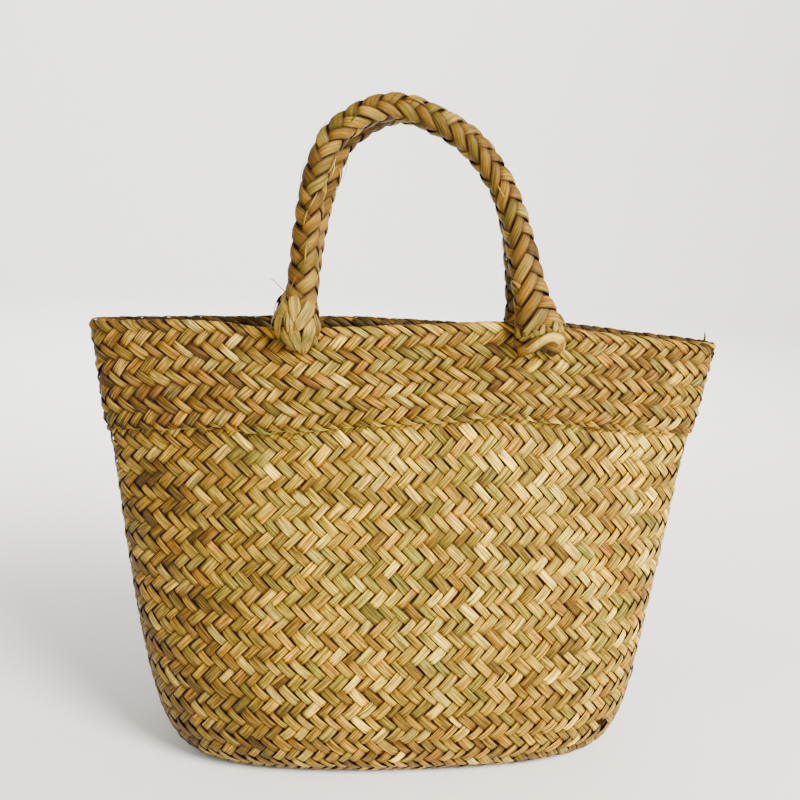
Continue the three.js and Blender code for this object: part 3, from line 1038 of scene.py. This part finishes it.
def handle_sheet(side):
    """The braid's sheet around one handle. The front side is -1 and the back side is 1."""
    rows = HANDLE_PATH
    middle_line = ring(1, 0)
    at_leg = np.argmin(np.abs(middle_line[:, 0] - HANDLE_SPAN / 2) + (middle_line[:, 1] > 0))
    seat = (abs(middle_line[at_leg, 1]) + BAND_OUTSIDE + HANDLE_SEAT_GAP + HANDLE_DIAMETER / 2)
    nearest = (HANDLE_DIAMETER + HANDLE_PARTING) / 2
    shift = BACK_HANDLE_SHIFT if side > 0 else 0
    x = HANDLE_OFFSET + shift * rows["lag"] + rows["across"] * HANDLE_SPAN / 2
    y = side * (nearest + (seat - nearest) * rows["out"])
    z = BASKET_HEIGHT + rows["up"] * np.where(rows["up"] > 0, HANDLE_RISE, HANDLE_DIVE)
    count = 700
    centres = curve_through(np.stack([x, y, z], -1), count)
    girths = curve_through(np.stack([rows["wide"], rows["thick"]], -1), count) * HANDLE_DIAMETER / 2
    braid = table(BRAID_COLUMNS_AT, BRAID_ROWS)
    at = np.linspace(0, 1, count)
    twists = np.radians(np.interp(at, braid["along"], braid["twist"]))
    skews = np.interp(at, braid["along"], braid["skew"])
    return TubeSheet(centres, girths - BRAID_SUNK, twists, skews, BRAID_COLUMNS, BRAID_ROW_HEIGHT)


def braid_floats(rows):
    """Floats in lengthwise columns that lean against each other by turns."""
    m = np.arange(rows)
    found = []
    for column in (0, 2):
        found.append(np.stack([np.full(rows, column + 0.25), m + 0.25, np.ones(rows)]))
        found.append(np.stack([np.full(rows, column + 1.25), m + 0.75, np.zeros(rows)]))
    column, row, falling = np.concatenate(found, 1)
    return Floats(column, row, falling > 0.5)


# The loose ends of a braid that fan out over its foot, each from its top end to its low end:
# across, from -1 on the side of the arch's middle to 1 on the outer side, up, in mm over the
# basket's height, the width in mm and how pale it is. The right foot's first six lie under the
# others and are dark as painted shade under the lashing.
LEAF_COLUMNS = ("across", "up", "low_across", "low_up", "width", "pale")
LEFT_LEAVES = (
    (0.95, 14.0, 1.05, -2.6, 4.4, 0.5),
    (0.76, 13.0, 0.8, -4.0, 4.6, 0.62),
    (-0.85, 12.0, -0.8, -4.0, 4.4, 0.5),
    (0.45, 15.0, 0.25, -1.5, 5.6, 0.75),
    (0.6, 21.0, -0.16, 3.5, 6.4, 0.95),
    (-0.7, 20.0, 0.1, 1.0, 7.0, 1.0),
    (-0.5, 2.5, -0.88, -7.5, 3.4, 0.9),
    (0.64, 3.0, 0.14, -9.5, 4.8, 0.7),
    (0.2, 6.0, -0.12, -10.5, 6.2, 0.95),
    (-0.6, 9.5, -0.3, -11.5, 6.8, 1.05),
)
RIGHT_LEAVES = (
    (-0.85, 2.0, -0.8, -5.5, 5.0, 0.4),
    (-0.45, 2.0, -0.45, -6.0, 5.2, 0.3),
    (-0.05, 2.0, -0.05, -6.5, 5.2, 0.4),
    (0.3, 2.0, 0.32, -6.5, 5.2, 0.3),
    (0.62, 2.0, 0.66, -6.5, 5.0, 0.4),
    (0.9, 2.0, 0.98, -6.0, 5.0, 0.35),
    (-0.95, 12.0, -0.85, 0.0, 4.0, 0.45),
    (-0.74, 8.0, -0.64, -3.5, 3.0, 0.35),
    (0.95, 12.0, 1.08, -3.0, 3.4, 0.5),
    (0.74, 8.0, 0.9, -3.0, 5.2, 0.6),
    (-0.35, 9.0, 0.05, 0.5, 3.6, 0.5),
    (0.1, 10.0, -0.24, 0.0, 3.4, 0.75),
    (0.2, 8.0, 0.5, 0.5, 3.6, 0.6),
    (0.65, 10.0, 0.28, 1.5, 3.4, 0.7),
    (-0.4, 7.0, -0.46, -3.4, 4.2, 0.9),
)
LASHING = (
    (-0.5, -3.0), (-0.3, 0.0), (0.0, 2.6), (0.34, 3.6), (0.7, 1.4), (0.96, -2.8), (1.02, -5.6),
)


def foot_surface(rod, band, side, leg, across, height, flat):
    """Places over the foot of a leg and their ways out: on the rod, or with flat up to 1 on the
    band's outside."""
    rows = np.linspace(0.6, 6, 60) * BRAID_ROW_HEIGHT
    along = rows if leg < 0 else rod.length - rows
    facing = np.array([side * -math.pi / 2])
    middle_up = np.array([rod.surface(np.array([d]), facing)[0][0, 2] for d in along])
    distance = np.interp(height, middle_up, along)
    turn = -side * np.arccos(np.clip(across, -1, 1))
    point, outward = rod.surface(distance, turn)
    x = point[..., 0] + leg * np.maximum(np.abs(across) - 1, 0) * np.sign(across) * 10 * MM
    wall = band.points.reshape(-1, 3)
    wall_out = band.normals.reshape(-1, 3)
    kept = (wall[:, 1] * side > 0) & (wall_out[:, 1] * side > 0.5)
    wall, wall_out = wall[kept], wall_out[kept]
    wanted = np.stack([x, height], -1)[..., None, :]
    nearest = np.argmin(np.sum((wall[:, [0, 2]] - wanted) ** 2, -1), -1)
    flat = flat[..., None]
    base = wall[nearest] + wall_out[nearest] * 1.1 * MM
    spot = point * (1 - flat) + base * flat
    spot[..., 0] = x
    way = outward * (1 - flat) + wall_out[nearest] * flat
    return spot, way / np.linalg.norm(way, axis=-1, keepdims=True)


def make_foot(name, side, leg, node, rod, band):
    leaves = table(LEAF_COLUMNS, LEFT_LEAVES if leg < 0 else RIGHT_LEAVES)
    count = len(leaves["up"])
    t = np.linspace(0, 1, 9)[None, :]
    order = np.arange(count)[:, None] / count
    across = leaves["across"][:, None] * (1 - t) + leaves["low_across"][:, None] * t
    height = BASKET_HEIGHT + (leaves["up"][:, None] * (1 - t) + leaves["low_up"][:, None] * t) * MM
    start, reach = (3 * MM, 14 * MM) if leg < 0 else (7 * MM, 10 * MM)
    flat = np.clip((start + BASKET_HEIGHT - height) / reach, 0, 1)
    flat = flat * flat * (3 - 2 * flat)
    spot, way = foot_surface(rod, band, side, leg, across, height, flat)
    sink = 1.6 if leg < 0 else 0.5
    rise = 0.5 + 1.4 * order + 0.5 * np.sin(math.pi * t) - sink * (1 - t) ** 3
    spot = spot + way * (rise * MM)[..., None]
    widths = leaves["width"][:, None] * MM * np.minimum(1, 0.5 + 1.6 * t) * (1 - 0.88 * t ** 5)
    tints = PALE_BRAID * leaves["pale"][:, None] * RANDOM.uniform(0.7, 0.95, (count, 1))
    piece = loose_strips(name + "_leaves", spot, way, widths, tints)
    finish_piece(piece, STRAW_BRAID, "straw_braid", node)
    if leg > 0:
        path = curve_through(np.array([(*p, 0) for p in LASHING]), 17)[None]
        height = BASKET_HEIGHT + path[..., 1] * MM
        flat = np.clip((path[..., 0] - 0.7) / 0.36, 0, 1)
        spot, way = foot_surface(rod, band, side, leg, path[..., 0], height, flat)
        spot = spot + way * 2.2 * MM
        widths = (np.linspace(4.8, 6.0, 17) * np.minimum(1, 0.2 + np.linspace(4, 0, 17)))[None] * MM
        piece = loose_strips(name + "_lashing", spot, way, widths, PALE_BRAID[None] * 1.2)
        finish_piece(piece, STRAW_BRAID, "straw_braid", node)


# The floats of a braid are left out over its feet, between these heights from the basket's: the
# top on the left and on the right, and the bottom
FOOT_TOPS = (10 * MM, -2 * MM)
FOOT_BOTTOM = 16.5 * MM

# The core of a braid: its sides, how deep it lies, and how it narrows and moves towards the wall
# as it goes down into the basket
CORE_SIDES = 16
CORE_DEPTH = 0.9 * MM
CORE_SLIMMING = 0.65
CORE_SHIFT = 4.5 * MM


def make_handle(name, side, node, band):
    sheet = handle_sheet(side)
    lattice = Lattice(BRAID_COLUMNS, 0.07)
    floats = braid_floats(int(sheet.last_row))
    place = floats.on(sheet)
    turned = (place - floats.on(sheet, -1 * MM))[:, 1] / MM
    foot_top = np.where(place[:, 0] < 0, *FOOT_TOPS)
    foot = (place[:, 2] < BASKET_HEIGHT + foot_top) & (place[:, 2] > BASKET_HEIGHT - FOOT_BOTTOM)
    behind = (turned * side < -0.2) & (place[:, 2] > BASKET_HEIGHT)
    floats = floats.chosen(behind | ~foot)
    tint = straw_tints(floats, BRAID_COLUMNS, BRAID_STRAW, keep=0.3, spread=0.18)
    rise = floats.on(sheet)[:, 2:] - BASKET_HEIGHT
    tint *= 0.92 - 0.24 * np.clip(rise / HANDLE_RISE, 0, 1)
    piece = lay_floats(name, sheet, lattice, floats, tint, form=BRAID_STRIP, loose=0.12 * MM)
    finish_piece(piece, STRAW_BRAID, "straw_braid", node)
    rings = []
    column = np.arange(CORE_SIDES) / CORE_SIDES * BRAID_COLUMNS
    for row in np.linspace(0, sheet.last_row, 120):
        around = sheet.at(column, np.full(CORE_SIDES, row), np.full(CORE_SIDES, -CORE_DEPTH))
        middle = around.mean(0)
        slim_from = BASKET_HEIGHT + (1 if row < sheet.last_row / 2 else 5) * MM
        slim = np.clip((slim_from - middle[2]) / (8 * MM), 0, 1)
        towards_wall = np.array([0, -side * CORE_SHIFT * slim, 0])
        rings.append(middle + towards_wall + (around - middle) * (1 - CORE_SLIMMING * slim))
    core = ring_shell(name + "_core", rings, False)
    finish_piece(core, STRAW_DARK, "straw_braid", node)
    make_tails(name + "_tails", node, sheet)
    make_splinters(name + "_splinters", node, sheet)
    for leg, word in ((-1, "left"), (1, "right")):
        make_foot(name + "_" + word, side, leg, node, sheet, band)


# Eight stations along a loose strip, from 0 to 1
STATIONS = np.linspace(0, 1, 8)[None, :]
TAIL_STRIPS = 9
TAIL_LENGTH = 10.5 * MM


def slender(t):
    """A torn fibre's width along it, narrow at both ends."""
    return 0.3 + 0.7 * np.sin(math.pi * (0.1 + 0.8 * t))


def make_tails(name, node, rod):
    """The ends of a braid inside the basket, as bundles of its strips."""
    t = STATIONS
    reach = np.tile(0.2 * MM + TAIL_LENGTH * t, (TAIL_STRIPS, 1))
    order = np.arange(TAIL_STRIPS)[:, None] + RANDOM.uniform(-0.2, 0.2, (TAIL_STRIPS, 1))
    turn = order / TAIL_STRIPS * 2 * math.pi
    found = [rod.surface(d, turn + 0 * t) for d in (reach, rod.length - reach)]
    point, outward = (np.concatenate([end[i] for end in found]) for i in (0, 1))
    both_ends = (2 * TAIL_STRIPS, 1)
    high = RANDOM.uniform(0.1, 0.6, both_ends) * MM + 0 * t
    widths = np.full(both_ends, 4.8 * MM) * (0.7 + 0.3 * np.minimum(1, 4 * t))
    tints = BRAID_STRAW[0][2] * RANDOM.uniform(0.6, 1.2, both_ends)
    piece = loose_strips(name, point + outward * high[..., None], outward, widths, tints)
    finish_piece(piece, STRAW_BRAID, "straw_braid", node)


SPLINTERS = 18
GROUP_ALONG = 102 * MM
GROUP_TURNS = (140, 152, 163)


def make_splinters(name, node, rod):
    """Torn fibres that stand off a braid, the first few of them side by side."""
    t = STATIONS
    group = len(GROUP_TURNS)
    along = rod.length * RANDOM.uniform(0.12, 0.88, SPLINTERS)
    along[:group] = GROUP_ALONG + RANDOM.uniform(-5, 5, group) * MM
    turn = RANDOM.uniform(0, 2 * math.pi, SPLINTERS)
    turn[:group] = np.radians(GROUP_TURNS)
    length = RANDOM.uniform(6, 13, SPLINTERS)[:, None] * MM
    lean = RANDOM.normal(0, 0.35, SPLINTERS)[:, None]
    point, outward = rod.surface(along[:, None] + length * (t - 0.5), turn[:, None] + lean * (t - 0.5))
    high = (0.2 + RANDOM.uniform(0.8, 1.8, SPLINTERS)[:, None] * np.sin(math.pi * t) ** 0.7) * MM
    widths = RANDOM.uniform(0.5, 1.5, SPLINTERS)[:, None] * MM * slender(t)
    tints = PALE_BRAID * RANDOM.uniform(0.25, 0.8, (SPLINTERS, 1))
    tints[:group] = PALE_BRAID * 1.2
    piece = loose_strips(name, point + outward * high[..., None], outward, widths, tints)
    finish_piece(piece, STRAW_BRAID, "straw_braid", node)


FRAYS = 90
WORN_COLUMNS = (33, 13)


def make_frays(band):
    """Torn brown fibres along the seam, crowded at its two worn places."""
    count = FRAYS
    column = RANDOM.uniform(0, STRIPS_AROUND, count)
    worst = RANDOM.uniform(0, 1, count)
    column = np.where(worst < 0.2, RANDOM.normal(WORN_COLUMNS[0], 1.6, count), column)
    column = np.where(worst > 0.85, RANDOM.normal(WORN_COLUMNS[1], 2, count), column)
    t = STATIONS
    length = RANDOM.uniform(0.2, 0.7, count)[:, None]
    slope = RANDOM.normal(0, 0.25, count)[:, None]
    row = BAND_ROWS + 0.08 + RANDOM.normal(0, 0.12, count)[:, None] + slope * t
    high = (0.1 + RANDOM.uniform(0, 0.9, count)[:, None] * np.sin(math.pi * t)) * MM
    columns = column[:, None] + length * (t - 0.5)
    middles = band.at(columns, row, high)
    ways = band.look_up(band.normals, columns, row)
    widths = RANDOM.uniform(0.3, 0.9, count)[:, None] * MM * slender(t)
    # The frays take their tints as floats of one falling strip do
    tints = straw_tints(Floats(column, column, column > 0), STRIPS_AROUND, brown=2.0) * 0.4
    piece = loose_strips("seam_frays", middles, ways, widths, tints)
    finish_piece(piece, STRAW_BAND, "straw_band", "rim_band")


# Stray fibres and strand ends: points in mm, from their roots, then the width in mm
STRAYS = (
    (((-66, -24, 249), (-70.3, -23.5, 252.5), (-73.5, -23, 255.5), (-75, -23, 255.5)), 0.5),
    (((43, -22, 260.5), (45.5, -24, 258), (47.5, -25, 255), (49, -25, 252)), 2.2),
    (((156.3, 0, 230.5), (156.4, -0.2, 232.3), (156.2, -0.2, 233.8), (156, 0, 235.2)), 1.3),
    (((150, -9.4, 230.5), (154.5, -9.2, 229.6), (157.3, -8.4, 226.5), (158, -7.6, 222.5)), 1.5),
    (((102, -33.4, 28), (105, -33.6, 25.5), (107.5, -33, 22), (108.5, -31.5, 18)), 1.6),
    (((110, -30.5, 29), (108.6, -32.4, 26.5), (106.6, -33.6, 25), (104.4, -33.8, 24.6)), 1.8),
    (((100, -33, 19), (103, -33.6, 20.5), (106, -33, 20.4), (109, -31, 21.4)), 0.9),
)


def make_strays():
    paths = np.array([curve_through(np.array(points, float) * MM, 8) for points, _ in STRAYS])
    out = np.zeros_like(paths)
    out[..., 1] = -1
    widths = np.array([w for _, w in STRAYS])[:, None] * MM * (1 - 0.6 * STATIONS ** 2)
    # Painted shade: the fourth stray, the hook on the front by the rim's corner, is made very dark
    tints = PALE_BRAID * np.array([0.6, 1, 0.25, 0.12, 0.5, 0.8, 0.3])[:, None]
    for name, node, slot, chosen in (
        ("handle_strays", "handle_front", "straw_braid", [0, 1]),
        ("rim_strays", "rim_band", "straw_band", [2, 3]),
        ("base_strays", "basket_body", "straw_weave", [4, 5, 6]),
    ):
        piece = loose_strips(name, paths[chosen], out[chosen], widths[chosen], tints[chosen])
        finish_piece(piece, STRAW_BRAID, slot, node)


make_body()
make_inside()
make_mat("base_mat", 0.5 * MM, -1, ring(0, OUTSIDE - 8 * MM)[::20, :2], FLAT_STRIP)
make_mat("floor_mat", WALL_THICKNESS, 1, ring(0.01, INSIDE - 6 * MM)[::20, :2], INNER_STRIP)
band_outside = make_band()
make_frays(band_outside)
make_cores()
make_handle("braid_front", -1, "handle_front", band_outside)
make_handle("braid_back", 1, "handle_back", band_outside)
make_strays()
